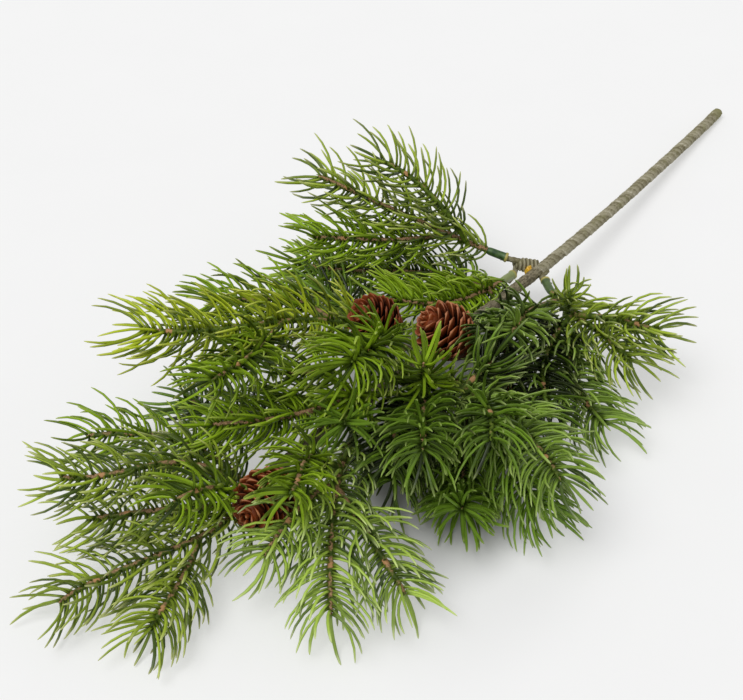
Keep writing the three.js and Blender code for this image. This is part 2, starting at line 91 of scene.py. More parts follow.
class Shade:
    """One socket of a material's nodes.

    Sums, products and powers of it, with numbers or sockets on either side, add Math nodes.
    node() adds any other kind of node: its settings are set first, then its sockets.
    """

    def __init__(self, tree, socket):
        self.tree, self.socket = tree, socket

    def node(self, kind, settings=None, sockets=None, out=0):
        made = self.tree.nodes.new(kind)
        for key, value in (settings or {}).items():
            setattr(made, key, value)
        for key, value in (sockets or {}).items():
            if isinstance(value, Shade):
                self.tree.links.new(value.socket, made.inputs[key])
            else:
                made.inputs[key].default_value = value
        return Shade(self.tree, made.outputs[out])

    def math(self, operation, first, second):
        return self.node("ShaderNodeMath", {"operation": operation}, {0: first, 1: second})

    def __add__(self, other):
        return self.math("ADD", self, other)

    def __radd__(self, other):
        return self.math("ADD", other, self)

    def __sub__(self, other):
        return self.math("SUBTRACT", self, other)

    def __rsub__(self, other):
        return self.math("SUBTRACT", other, self)

    def __mul__(self, other):
        return self.math("MULTIPLY", self, other)

    def __rmul__(self, other):
        return self.math("MULTIPLY", other, self)

    def __pow__(self, other):
        return self.math("POWER", self, other)

    def between(self, low, high):
        """0 below low, 1 above high, and a smooth step from one to the other."""
        limits = {"Value": self, "From Min": low, "From Max": high}
        return self.node("ShaderNodeMapRange", {"interpolation_type": "SMOOTHSTEP"}, limits)

    def blend(self, low, high):
        """The colour that goes from low to high as this value goes from 0 to 1."""
        return self.node("ShaderNodeMix", {"data_type": "RGBA"}, {0: self, 6: low, 7: high}, 2)

    def noise(self, scale, detail=2.0):
        """Cloudy noise at this place, with scale clouds to the metre."""
        sockets = {"Vector": self, "Scale": scale, "Detail": detail}
        return self.node("ShaderNodeTexNoise", None, sockets)

    def stretched(self, x, y, z):
        """This place with its three directions scaled apart."""
        return self.node("ShaderNodeMapping", None, {"Vector": self, "Scale": (x, y, z)})

    def split(self):
        """The three numbers of a vector."""
        first = self.node("ShaderNodeSeparateXYZ", None, {0: self})
        return [Shade(self.tree, socket) for socket in first.socket.node.outputs]

    def bump(self, strength, distance):
        """The surface's normal tipped by this height."""
        sockets = {"Height": self, "Strength": strength, "Distance": distance}
        return self.node("ShaderNodeBump", None, sockets)

    def into(self, socket):
        """Feeds the material's own shader."""
        shader = self.tree.nodes["Principled BSDF"]
        self.tree.links.new(self.socket, shader.inputs[socket])


def paint(code):
    """Linear red, green, blue and opacity of a six-digit sRGB code."""
    share = np.array([int(code[i : i + 2], 16) for i in (0, 2, 4)]) / 255
    linear = np.where(share <= 0.04045, share / 12.92, ((share + 0.055) / 1.055) ** 2.4)
    return (*linear.tolist(), 1.0)


def new_finish(name, constants):
    """A material with constants on its shader's own sockets; gives its place and marks too."""
    material = bpy.data.materials.new(name)
    material.use_nodes = True
    tree = material.node_tree
    for socket, value in constants.items():
        tree.nodes["Principled BSDF"].inputs[socket].default_value = value
    place = Shade(tree, tree.nodes.new("ShaderNodeTexCoord").outputs["Object"])
    marks = place.node("ShaderNodeAttribute", {"attribute_name": "marks"}, out="Vector")
    return material, place, marks.split()


def tape_finish():
    """Matte crinkled paper: painted shadow under laps, painted highlight on free edges, fibres and
    lengthwise folds.

    Its marks are the height within a lap and the decimetres from the cut end.
    """
    material, place, (lap, from_cut, _) = new_finish("paper_tape", {"Specular IOR Level": 0.25})
    folds = place.stretched(0.35, 1.0, 1.0).noise(1500, 3)
    cloud = place.noise(260, 3)
    fibre = place.noise(5200, 2)
    lit = (lap * 0.9 + folds * 1.1 - 0.5).between(0.05, 0.75)
    colour = lit.blend(paint(TAPE_SHADOWED), paint(TAPE_PLAIN))
    # Painted highlight: the pale colour along the top of each lap, where its free edge stands up.
    colour = (lap.between(0.72, 0.98) * folds.between(0.35, 0.6)).blend(colour, paint(TAPE_EDGE_HIGHLIGHT))
    colour = (cloud.between(0.45, 0.75) * 0.5).blend(colour, paint(TAPE_OLIVE))
    colour = (1 - from_cut.between(*OLIVE_UNTIL)).blend(colour, paint(TAPE_OLIVE))
    # Painted shade and darkening: lap marks below zero, in the binding's grooves and on the two
    # darkened wires, turn towards the darkest tape colour.
    colour = (0.75 - lap.between(-0.45, -0.05) * 0.75).blend(colour, paint(TAPE_WORN_AND_GROOVE_SHADE))
    scuffed = (folds * 0.7 + fibre * 0.3).between(0.35, 0.62)
    scuffed = scuffed.blend(paint(TAPE_WORN_AND_GROOVE_SHADE), paint(TAPE_WORN_PALE))
    colour = (from_cut.between(*WORN_FROM) * 0.85).blend(colour, scuffed)
    colour.into("Base Color")
    (0.78 + fibre * 0.2).into("Roughness")
    (folds + fibre * 0.35).bump(0.55, 0.00035).into("Normal")
    return material


paper_tape = tape_finish()


def triangles_of(name):
    """The corner points of a node's loose triangles, as (triangle, corner, xyz)."""
    mesh = frame["nodes"][name].data
    points = np.empty(len(mesh.vertices) * 3, np.float32)
    mesh.vertices.foreach_get("co", points)
    corners = np.empty(len(mesh.loops), np.int32)
    mesh.loops.foreach_get("vertex_index", corners)
    return points.reshape(-1, 3)[corners].reshape(-1, 3, 3).astype(float)


def middle_line(points, ahead, degree):
    """Coefficients of a smooth line through the middle of a rod's skin.

    The rod's long direction is the strongest one of its points, turned to agree with ahead.
    Each coordinate is a least-squares polynomial of a point's share of the way along it.
    """
    centre = points.mean(axis=0)
    along = np.linalg.svd(points - centre, full_matrices=False)[2][0]
    reach = (points - centre) @ (along * np.sign(along @ ahead))
    share = (reach - reach.min()) / np.ptp(reach)
    powers = share[:, None] ** np.arange(degree + 1)
    return np.linalg.lstsq(powers, points, rcond=None)[0]


def follow(line, share):
    """Points and unit directions on a middle line, which goes straight on past its ends."""
    held = np.clip(share, 0, 1)[..., None]
    power = np.arange(len(line))
    slope = (power[1:] * held ** (power[1:] - 1)) @ line[1:]
    point = held**power @ line + (share[..., None] - held) * slope
    return point, slope / np.linalg.norm(slope, axis=-1, keepdims=True)


def line_length(line):
    """Length of a middle line, as the sum of its chords."""
    points = follow(line, np.linspace(0, 1, LINE_CHORDS + 1))[0]
    return np.linalg.norm(np.diff(points, axis=0), axis=1).sum()


def square_to(direction):
    """Two unit directions square to each given one and to each other."""
    lean = np.eye(3)[np.abs(direction.reshape(-1, 3).mean(axis=0)).argmin()]
    side = np.cross(direction, lean)
    side = side / np.linalg.norm(side, axis=-1, keepdims=True)
    return side, np.cross(direction, side)


def rings_round(line, share, radius):
    """Rings round a line: point + radius * (cosine * side + sine * other side).

    radius holds one row for each share and one column for each corner of the ring.
    """
    turn = np.arange(radius.shape[1]) / radius.shape[1] * 2 * np.pi
    point, ahead = follow(line, share)
    side, other = square_to(ahead)
    spoke = np.cos(turn)[:, None] * side[:, None] + np.sin(turn)[:, None] * other[:, None]
    return point[:, None] + radius[..., None] * spoke


def sheet_rows(count, columns, low, high):
    """Cells for count tubes on the unwrapped sheet, as (left, low, right, high) rows."""
    wide, tall = 1 / columns, (high - low) / math.ceil(count / columns)
    order = np.arange(count)
    left = order % columns * wide
    floor = low + order // columns * tall
    return np.stack([left, floor, left + CELL_FILLED[0] * wide, floor + CELL_FILLED[1] * tall], 1)


def closed_tubes(points, cells, marks):
    """Faces and unwrapped sheet of closed tubes, given as (tube, ring, corner, xyz).

    Four-sided faces join neighbouring rings, and a flat cap closes each end ring. On the sheet a
    tube is a strip in its cell, with its two caps as small ovals at the strip's ends.
    """
    tubes, rings, sides = points.shape[:3]
    index = np.arange(points[..., 0].size).reshape(tubes, rings, sides)
    next_one = np.roll(index, -1, axis=2)
    quads = np.stack([index[:, :-1], next_one[:, :-1], next_one[:, 1:], index[:, 1:]], axis=-1)
    caps = np.concatenate([index[:, 0, ::-1], index[:, -1]])
    along = CAP_ROOM + (1 - 2 * CAP_ROOM) * np.arange(rings) / (rings - 1)
    around = np.arange(sides + 1) / sides
    a, b = np.meshgrid(along, around, indexing="ij")
    strip = np.stack([a, b], axis=-1)
    strip = np.stack([strip[:-1, :-1], strip[:-1, 1:], strip[1:, 1:], strip[1:, :-1]], axis=2)
    turn = np.arange(sides) / sides * 2 * np.pi
    oval = np.stack([CAP_HALF[0] * np.cos(turn), CAP_HALF[1] * np.sin(turn)], axis=-1)
    low, size = cells[:, None, :2], (cells[:, 2:] - cells[:, :2])[:, None]
    strip = low + strip.reshape(1, -1, 2) * size
    first_cap = low + (oval[::-1] + (CAP_MIDDLE, 0.5)) * size
    last_cap = low + (oval + (1 - CAP_MIDDLE, 0.5)) * size
    sheet = np.concatenate([part.reshape(-1, 2) for part in (strip, first_cap, last_cap)])
    totals = np.concatenate([np.full(quads.size // 4, 4), np.full(len(caps), sides)])
    return {
        "points": points.reshape(-1, 3),
        "marks": np.broadcast_to(marks, points.shape).reshape(-1, 3),
        "corners": np.concatenate([quads.ravel(), caps.ravel()]),
        "totals": totals,
        "smooth": totals == 4,
        "sheet": sheet,
    }


def make_piece(name, shells, nodes):
    """Puts shells, each a pair of closed tubes and their finish, into one piece of the spray."""
    mesh = bpy.data.meshes.new(name)
    first = np.cumsum([0] + [len(shell["points"]) for shell, _ in shells])
    corners = np.concatenate([shell["corners"] + at for (shell, _), at in zip(shells, first)])
    totals = np.concatenate([shell["totals"] for shell, _ in shells])
    mesh.vertices.add(first[-1])
    mesh.loops.add(len(corners))
    mesh.polygons.add(len(totals))
    joined = {key: np.concatenate([shell[key] for shell, _ in shells]) for key in shells[0][0]}
    mesh.vertices.foreach_set("co", joined["points"].astype(np.float32).ravel())
    mesh.loops.foreach_set("vertex_index", corners.astype(np.int32))
    mesh.polygons.foreach_set("loop_start", (np.cumsum(totals) - totals).astype(np.int32))
    coat = np.repeat(np.arange(len(shells)), [len(shell["totals"]) for shell, _ in shells])
    mesh.polygons.foreach_set("material_index", coat.astype(np.int32))
    mesh.polygons.foreach_set("use_smooth", joined["smooth"])
    mesh.update(calc_edges=True)
    marks = mesh.attributes.new("marks", "FLOAT_VECTOR", "POINT")
    marks.data.foreach_set("vector", joined["marks"].astype(np.float32).ravel())
    sheet = mesh.uv_layers.new(name="OFBake")
    sheet.uv.foreach_set("vector", joined["sheet"].astype(np.float32).ravel())
    for _, finish in shells:
        mesh.materials.append(finish)
    piece = bpy.data.objects.new(name, mesh)
    bpy.context.scene.collection.objects.link(piece)
    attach(piece, "root")
    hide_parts(*nodes)


def wrapped(line, share, radius, pitch, step):
    """A taped rod: its radius climbs by step over each slanting lap and drops at the tape's edge.

    The lap is the fraction of length / pitch - two angles / full turn, a little uneven as a hand
    winds it; a second, broader lap is a few pitches long, and fine folds run lengthwise.
    """
    turn = np.arange(STEM_SIDES) / STEM_SIDES
    run = share[:, None] * line_length(line)
    uneven = 0.14 * np.sin(run * 310) + 0.08 * np.sin(run * 1130 + 1)
    lap = (run / pitch - 2 * turn + uneven) % 1
    broad = (run / (TAPE_BROAD_PITCHES * pitch) - turn + 0.2 * np.sin(run * 170 + 2)) % 1
    folds = np.sin(turn * 14 * np.pi + run * 900) * np.sin(turn * 6 * np.pi - run * 2300)
    grown = radius[:, None] + step * (0.8 * lap + broad - 1.1) + TAPE_WRINKLE * folds
    height = 0.5 * lap + 0.5 * broad
    marks = np.stack(np.broadcast_arrays(height, run * DECIMETRES, 0.0), axis=-1)
    return rings_round(line, share, grown), marks


stem_skin = triangles_of("main_stem").reshape(-1, 3)
stem_line = middle_line(stem_skin, np.array([-1, 0, 0]), STEM_DEGREE)
stem_share = np.linspace(0, 1, int(line_length(stem_line) / STEM_SAMPLE))
from_cut = np.clip(stem_share * line_length(stem_line) / CUT_ROUNDING, CUT_LEAST, 1)
stem_radius = STEM_RADIUS * np.sqrt(1 - (1 - from_cut) ** 2)
stem_rings, stem_marks = wrapped(stem_line, stem_share, stem_radius, TAPE_PITCH, TAPE_STEP)
stem_shell = closed_tubes(stem_rings[None], WHOLE_SHEET, stem_marks)
make_piece("taped_stem", [(stem_shell, paper_tape)], ["main_stem"])

# Side wires: thinner steel wires taped to the stem at one end and bare of needles up to the
# sleeve that is pushed over the other. The same tape is wound on them in shorter turns.
WIRE_RADIUS = 0.0011
CONE_WIRE_RADIUS = 0.0009
WIRE_PITCH = 0.0026
WIRE_STEP = 0.00018
WIRE_SAMPLE = 0.00045
WIRE_TUCK = 0.0025
WIRE_DEGREE = 2
STEM_STOPS = 200
# These two wires' tape is painted darker all along: their lap marks are lowered.
WIRES_PAINTED_DARKER = ("rear_left_wire", "right_wire")
WIRE_DARKENING = 0.4
PLAIN_TAPE = 1

stem_points = follow(stem_line, np.linspace(0, 1, STEM_STOPS))[0]
for name in sorted(node for node in frame["nodes"] if node.endswith("_wire")):
    skin = triangles_of(name).reshape(-1, 3)
    from_stem = skin.mean(axis=0) - stem_points
    nearest = np.linalg.norm(from_stem, axis=1).argmin()
    line = middle_line(skin, from_stem[nearest], WIRE_DEGREE)
    tuck = WIRE_TUCK / line_length(line)
    share = np.linspace(-tuck, 1 + tuck, int(line_length(line) * (1 + 2 * tuck) / WIRE_SAMPLE))
    radius = np.full(len(share), CONE_WIRE_RADIUS if name.startswith("cone") else WIRE_RADIUS)
    rings, marks = wrapped(line, share, radius, WIRE_PITCH, WIRE_STEP)
    marks[..., 0] -= WIRE_DARKENING if name in WIRES_PAINTED_DARKER else 0
    marks[..., 1] = PLAIN_TAPE
    shell = closed_tubes(rings[None], WHOLE_SHEET, marks)
    make_piece(f"{name}_taped", [(shell, paper_tape)], [name])

# Binding: a knob of tight tape turns that lashes the first side wires to the stem.
# The turns lie side by side, square to the knob, and are pressed into round ridges.
BINDING_RADIUS = 0.0028
BINDING_RIDGES = 6
BINDING_RIDGE = 0.00056
BINDING_ROUNDING = (0.12, 0.38)
BINDING_LEAST = 0.05
BINDING_RINGS = 90
BINDING_SIDES = 28

skin = triangles_of("tape_binding").reshape(-1, 3)
binding_line = middle_line(skin, np.array([-1, 1, 0]), 1)
share = np.linspace(0, 1, BINDING_RINGS)
to_end = np.minimum(share / BINDING_ROUNDING[0], (1 - share) / BINDING_ROUNDING[1])
swell = np.sqrt(1 - (1 - np.clip(to_end, BINDING_LEAST, 1)) ** 2)
turn = np.arange(BINDING_SIDES) / BINDING_SIDES
ridge = np.abs(np.sin(np.pi * (share[:, None] * BINDING_RIDGES - turn)))
bumpy = 1 + 0.03 * np.sin(turn * 10 * np.pi + share[:, None] * 9)
radius = (BINDING_RADIUS * bumpy + BINDING_RIDGE * (ridge - 0.8)) * swell[:, None]
# The ridge mark paints shade into the grooves between the turns and lights their crowns.
marks = np.stack(np.broadcast_arrays(ridge * 1.1 - 0.45, PLAIN_TAPE, 0.0), axis=-1)
shell = closed_tubes(rings_round(binding_line, share, radius)[None], WHOLE_SHEET, marks)
make_piece("binding_turns", [(shell, paper_tape)], ["tape_binding"])

# Glue bead: a drop of amber hot glue in the crook of binding and stem, set hard and glossy.
# It is lumpy and cloudy, and it was left where it ran.
GLUE_AMBER = "dca616"
GLUE_PALE = "ecc850"
GLUE_RINGS = 18
GLUE_SIDES = 22
GLUE_POLE = 0.03

glue_finish, place, _ = new_finish("amber_glue", {"Coat Weight": 0.3})
cloudy = place.noise(900, 2).between(0.4, 0.65)
cloudy.blend(paint(GLUE_AMBER), paint(GLUE_PALE)).into("Base Color")
(0.22 + place.noise(1800, 2) * 0.2).into("Roughness")
place.noise(1400, 2).bump(0.3, 0.0002).into("Normal")
skin = triangles_of("glue_bead").reshape(-1, 3)
middle, half = (skin.max(axis=0) + skin.min(axis=0)) / 2, np.ptp(skin, axis=0) / 2
rise = np.linspace(GLUE_POLE, np.pi - GLUE_POLE, GLUE_RINGS)[:, None]
turn = np.arange(GLUE_SIDES)[None] / GLUE_SIDES * 2 * np.pi
lump = 1 + 0.10 * np.sin(2 * turn + 3 * rise) + 0.06 * np.sin(5 * turn - 2 * rise)
ball = np.sin(rise) * np.cos(turn), np.sin(rise) * np.sin(turn), -np.cos(rise)
ball = np.stack(np.broadcast_arrays(*ball), axis=-1)
points = middle + half * ball * lump[..., None]
shell = closed_tubes(points[None], WHOLE_SHEET, np.zeros(3))
make_piece("glue_drop", [(shell, glue_finish)], ["glue_bead"])

# Cones: three moulded brown cones, each on its own thin wire. Thin rounded scales overlap in
# spirals round a core painted dark with shade, and their free rims are rubbed to a paler pinkish
# brown.
CONE_LENGTH = 0.0265
CONE_RADIUS = 0.0104
CONE_SEED = 40
CONE_GAP_SHADE = "160602"
CONE_BROWN = "6a2d10"
CONE_RED = "94441a"
CONE_RIM = "b87a54"
SCALES = 80
SCALE_COLUMNS = 6
SCALE_CORNERS = 10
SCALE_HALF_WIDTH = 0.0044
SCALE_HALF_THICK = 0.00050
SCALE_OUT = np.array([0.0, 0.3, 0.55, 0.72, 0.85, 0.94, 1.0])
SCALE_BREADTH = np.array([0.5, 0.85, 1.0, 0.97, 0.80, 0.52, 0.14])
SCALE_LENGTHS = (1.0, 1.1)
SCALE_TURN_SPREAD = 0.05
SCALE_FOOT_GIRTH = 0.35
SCALE_ARC = 0.95
SCALE_CURL = 0.14
CLOSED_FROM = 0.80
CLOSED_BY = 0.75
CORE_ENDS = (0.02, 0.88)
CORE_GIRTH = 0.5
CORE_RINGS = 16
CORE_SIDES = 14
CORE_CELL = np.array([[0.0, 0.0, 1.0, 0.08]])
GOLDEN_TURN = math.pi * (3 - math.sqrt(5))
# cone_middle's pale share below 1 paints shade over it: its scales turn darker and their rims
# fainter.
CONES = {
    "cone_rear": {"steep": 1.0, "pale": 1.0, "red": 0.0},
    "cone_middle": {"steep": 1.0, "pale": 0.86, "red": 0.0},
    "cone_tip": {"steep": 0.5, "pale": 1.0, "red": 0.5},
}


def cone_finish():
    """Satin brown plastic: painted shade down between the scales, paler on the rims, faintly
    streaked.

    Its marks are the way out along a scale, the way across it, and the scale's redness.
    """
    material, place, (out, across, red) = new_finish("cone_brown", {"Specular IOR Level": 0.3})
    grain = place.noise(1300, 3)
    colour = (red * 0.7 + grain * 0.3).blend(paint(CONE_BROWN), paint(CONE_RED))
    # Painted shade: the inner part of each scale and the lower core turn to the near-black gap
    # colour.
    colour = (out + grain * 0.2).between(0.45, 1.0).blend(paint(CONE_GAP_SHADE), colour)
    rim = (out**9 + (across * across) ** 4 * out * 0.7 + grain * 0.25 - 0.15).between(0.25, 0.95)
    (rim * 0.85).blend(colour, paint(CONE_RIM)).into("Base Color")
    (0.38 + grain * 0.25).into("Roughness")
    (grain + place.noise(4000, 2) * 0.4).bump(0.35, 0.0002).into("Normal")
    return material


cone_brown = cone_finish()


def girth(rank):
    """A cone's radius from its base (0) to its apex (1): a fat spindle, widest below the middle."""
    return CONE_RADIUS * np.sin(np.pi * (0.2 + 0.72 * rank)) ** 0.75


def cone_scales(rng, steep, pale, red):
    """Scales of a cone standing on the origin, as (scale, ring, corner, xyz), and their marks.

    Scale number n stands at n golden turns. From the core it runs outwards and upwards, steeper
    towards its end and the more so the steeper the cone is closed; its half width grows along it
    and closes in a pointed arch; its section is a lens, sharp at both edges.
    """
    rank = ((np.arange(SCALES) + 0.5) / SCALES)[:, None, None]
    turn = np.arange(SCALES) * GOLDEN_TURN + rng.normal(0, SCALE_TURN_SPREAD, SCALES)
    turn = turn[:, None, None]
    out = SCALE_OUT[None, :, None]
    section = (np.arange(SCALE_CORNERS) / SCALE_CORNERS * 2 * np.pi)[None, None]
    core = SCALE_FOOT_GIRTH * girth(rank)
    closed = 1 - CLOSED_BY * np.clip((rank - CLOSED_FROM) / (1 - CLOSED_FROM), 0, 1)
    tip = girth(rank) * closed * rng.uniform(*SCALE_LENGTHS, rank.shape)
    spread = core + (tip - core) * np.sin(SCALE_ARC * out) / np.sin(SCALE_ARC)
    rise = (1 - 0.2 * steep) * rank - 0.01 + steep * (0.25 - 0.05 * rank) * out**1.4
    rise = CONE_LENGTH * rise
    slope = np.stack([np.gradient(spread[..., 0], axis=1), np.gradient(rise[..., 0], axis=1)])
    slope = (slope / np.linalg.norm(slope, axis=0))[..., None]
    half = SCALE_HALF_WIDTH * (0.5 + 0.5 * girth(rank) / CONE_RADIUS)
    half = half * SCALE_BREADTH[None, :, None]
    across = np.cos(section)
    thick = SCALE_HALF_THICK * np.sin(section) * np.abs(np.sin(section)) * (1.3 - 0.6 * out)
    curl = SCALE_CURL * half * across**2
    radius = spread - slope[1] * thick - curl
    height = rise + slope[0] * thick - curl
    angle = turn + across * half / np.maximum(spread, 0.4 * CONE_RADIUS)
    points = np.stack([radius * np.cos(angle), radius * np.sin(angle), height], axis=-1)
    redness = rng.uniform(0, 1, rank.shape) + red
    marks = np.stack(np.broadcast_arrays(out * pale, across, redness), axis=-1)
    return points, np.broadcast_to(marks, points.shape)


def cone_core():
    """The core: half the cone's girth at each height; its marks are the square of the rank."""
    rank = np.linspace(*CORE_ENDS, CORE_RINGS)[:, None]
    turn = np.arange(CORE_SIDES) / CORE_SIDES * 2 * np.pi
    stout = girth(rank) * CORE_GIRTH
    points = stout * np.cos(turn), stout * np.sin(turn), rank * CONE_LENGTH
    points = np.stack(np.broadcast_arrays(*points), axis=-1)
    return points, np.broadcast_to(rank[..., None] ** 2, points.shape)


cone_forms = []
for order, (name, form) in enumerate(CONES.items()):
    rng = np.random.default_rng(CONE_SEED + order)
    skin = triangles_of(name).reshape(-1, 3)
    centre = skin.mean(axis=0)
    wire = triangles_of(f"{name}_wire").reshape(-1, 3).mean(axis=0)
    axis = np.linalg.svd(skin - centre, full_matrices=False)[2][0]
    axis = axis * np.sign((centre - wire) @ axis)
    reach = skin @ axis
    length = np.ptp(reach)
    base = centre + axis * (reach.min() - centre @ axis)
    side, other = square_to(axis[None])
    upright = np.stack([side[0], other[0], axis])
    size = length / CONE_LENGTH
    scales, scale_marks = cone_scales(rng, **form)
    scales = base + size * scales @ upright
    core, core_marks = cone_core()
    core = base + size * core @ upright
    scale_cells = sheet_rows(SCALES, SCALE_COLUMNS, 0.1, 1.0)
    shells = [
        (closed_tubes(scales, scale_cells, scale_marks), cone_brown),
        (closed_tubes(core[None], CORE_CELL, core_marks), cone_brown),
    ]
    make_piece(f"{name}_scales", shells, [name])
    cone_forms.append((base + axis * length / 2, axis, length / 2, CONE_RADIUS * size))

# Sprays: ten moulded plastic sprays, each a leader with side sprigs. The leader ends in a smooth
# sleeve that slips over its wire. Needles grow all round each twig and curve towards its tip; the
# twigs are green plastic with brown paint wiped over their upper sides.
SPRIG_SEED = 1000
NEEDLE_LENGTH = 0.0205
NEEDLE_HALF_WIDTH = 0.00060
NEEDLE_HALF_THICK = 0.00053
NEEDLES_PER_METRE = 2150
NEEDLE_SIZES = (0.76, 1.06)
NEEDLE_TURN_SPREAD = 0.28
NEEDLE_PARTING = 0.5
NEEDLE_LEAN = 80
NEEDLE_LEAN_SPREAD = 8
NEEDLE_LEAN_POINT = 12
NEEDLE_LEAN_POINT_SPREAD = 11
NEEDLE_ROOTED = 0.7
NEEDLE_SWAY = 0.13
NEEDLE_ROLL = 0.35
NEEDLE_TONES = (-0.35, 1.3)
NEEDLE_PAINTED_LIGHT_OUT = 0.4
NEEDLE_PAINTED_LIGHT_UP = 0.3
NEEDLE_COLUMNS = 3
STATION = np.array([0.0, 0.12, 0.30, 0.52, 0.76, 0.94, 1.0])
STATION_SIZE = np.array([1.25, 0.97, 1.0, 1.0, 0.90, 0.62, 0.20])
ACROSS = np.array([1.0, 0.5, 0.0, -0.5, -1.0, 0.0])
DEEP = np.array([0.1, 0.72, 0.40, 0.72, 0.1, -0.9])
TUFT_LENGTH = 0.010
TUFT_CLOSED = 0.32
TUFT_CLOSED_POINT = 0.3
TUFT_SHORTER = 0.1
FOOT_STRETCH = 0.012
FOOT_SIZE = 0.78
HEIGHT_ROUNDING = 0.0012
CONE_ROOM = 1.02
LEADER_BARE = 0.0078
SPRIG_BARE = 0.0030
DARK_TONE = -0.3
TWIG_RADIUS = 0.00115
TWIG_POINT_RADIUS = 0.00092
TWIG_POINT_ROUNDING = 0.0025
TWIG_SAMPLE = 0.0010
TWIG_SIDES = 9
TWIG_DEGREE = 3
TWIG_TUCK = 0.0046
TWIG_IN_SLEEVE = 0.0070
TWIG_LUMPS = 0.03
TWIG_CELL = np.array([[0.0, 0.0, 1.0, 0.06]])
TWIG_BROWN = "6a5038"
TWIG_BROWN_PALE = "b08c66"
TWIG_GREEN = "3a4c10"
TWIG_GREEN_PALE = "647c1c"
PAINT_WIPED = (0.4, 0.85)
SHARP_CORNER = 1.8
SCAR_BEFORE_POINT = (0.008, 0.016)
SCAR_HALF = 0.0014
SCAR_SWELL = 0.14
SCAR_PALE = "b88a5e"
SLEEVE_RUN = np.array([0, 0.2, 0.7, 1.0, 1.4, 3.0, 4.8, 6.4, 7.3, 8.0, 8.6]) / 1000
SLEEVE_RADIUS = np.array([1.6, 1.95, 2.0, 1.9, 1.68, 1.65, 1.62, 1.6, 1.55, 1.4, 1.2]) / 1000
SLEEVE_SIDES = 16
SLEEVE_CELL = np.array([[0.0, 0.07, 1.0, 0.13]])
SLEEVE_LIGHT = 0.1
SLEEVE_DARK_GREEN = "2c4726"
SLEEVE_GREEN = "4c6836"
SLEEVE_LIGHT_GREEN = "9aa46e"
SLEEVE_MOUTH = "b3a75e"
# A needle's colours in its darkest tone, in its lightest, at its point and at its foot; its gloss
SHADES = {
    "needles_light": ("3e5608", "a8c034", "dede9e", "3c5204", 0.32),
    "needles_mid": ("2a4004", "90b21e", "b4c05e", "2c4004", 0.20),
    "needles_dark": ("0e1c04", "729626", "9eae62", "122002", 0.36),
    "needles_yellow": ("526a08", "bcce2a", "dede78", "485c02", 0.24),
    # needles_frosted's pale, greyish body and points paint the sheen of the front spray, on top of
    # its real gloss.
    "needles_frosted": ("38540e", "aecc4c", "e2eab0", "425608", 0.42),
    "needles_satin": ("283e0a", "8eae40", "b2c07c", "2a4004", 0.42),
}
# What a whole spray, or one sprig of it, has of its own: the crowding, size, tone and look of its
# needles, the paint left on its twig, the length of its bare foot and how light its sleeve is. The
# tone is partly the plastic's own green and partly painted shade on inner sprigs and painted light
# on outer ones
OWN = {
    "crown_leader": {"crowding": 0.9, "size": 0.92},
    "crown_sprig_1": {"crowding": 1.3, "tone": 0.25},
    "crown_sprig_2": {"crowding": 1.3},
    "front": {"paint": 0.52},
    "front_leader": {"tone": 0.25, "look": "needles_frosted"},
    "front_sprig_1": {"crowding": 0.85, "size": 0.93, "tone": 0.1},
    "front_sprig_2": {"crowding": 1.15, "tone": 0.3, "look": "needles_frosted"},
    "front_sprig_3": {"look": "needles_frosted"},
    "front_sprig_4": {"tone": 0.9},
    "front_right_leader": {"crowding": 1.2, "tone": 0.3, "look": "needles_satin"},
    "front_right_sprig_1": {"crowding": 0.9, "tone": 0.4, "paint": 0.25},
    "front_right_sprig_2": {"crowding": 2.0, "size": 1.05, "tone": 0.8},
    "front_right_sprig_3": {"crowding": 2.3, "tone": 1.0},
    "front_right_sprig_4": {"crowding": 1.8},
    "front_right_sprig_5": {"crowding": 2.4, "size": 1.1},
    "inner_right_leader": {"size": 1.12, "paint": 0.25},
    "inner_right_sprig_1": {"crowding": 1.3, "tone": -0.6},
    "left_leader": {"size": 1.18, "paint": 0.25, "look": "needles_yellow"},
    "left_sprig_2": {"crowding": 1.45, "size": 1.25, "paint": 0.25},
    "left_sprig_4": {"crowding": 1.25},
    "middle_leader": {"crowding": 1.15, "tone": 0.6},
    "middle_sprig_2": {"crowding": 1.15, "tone": 0.1},
    "middle_sprig_3": {"crowding": 1.5, "tone": 0.7},
    "rear_left": {"crowding": 0.75},
    "rear_left_leader": {"sleeve": 0.0},
    "rear_left_sprig_1": {"crowding": 0.64, "paint": 0.25},
    "rear_left_sprig_2": {"crowding": 1.0, "tone": 0.35},
    "rear_low_leader": {"crowding": 1.6, "tone": 0.55, "sleeve": 0.8},
    "rear_low_sprig_1": {"crowding": 1.25},
    "right": {"paint": 0.25},
    "right_leader": {"tone": 0.05, "bare": 0.0105, "sleeve": 0.15},
    "right_sprig_2": {"crowding": 1.35, "tone": 0.25, "look": "needles_satin"},
    "right_sprig_3": {"tone": -0.55},
    "right_sprig_4": {
        "crowding": 0.75, "size": 0.85, "bare": 0.0150, "paint": 0.6, "look": "needles_satin",
    },
    "right_sprig_5": {"crowding": 0.9, "size": 0.75, "look": "needles_light"},
    "tip": {"crowding": 0.8, "paint": 0.46},
    "tip_leader": {"crowding": 0.74, "tone": -0.1},
    "tip_sprig_1": {"crowding": 1.15},
    "tip_sprig_2": {"tone": -0.1},
    "tip_sprig_3": {"tone": -0.15},
    "tip_sprig_4": {"crowding": 0.74, "tone": 0.2},
}


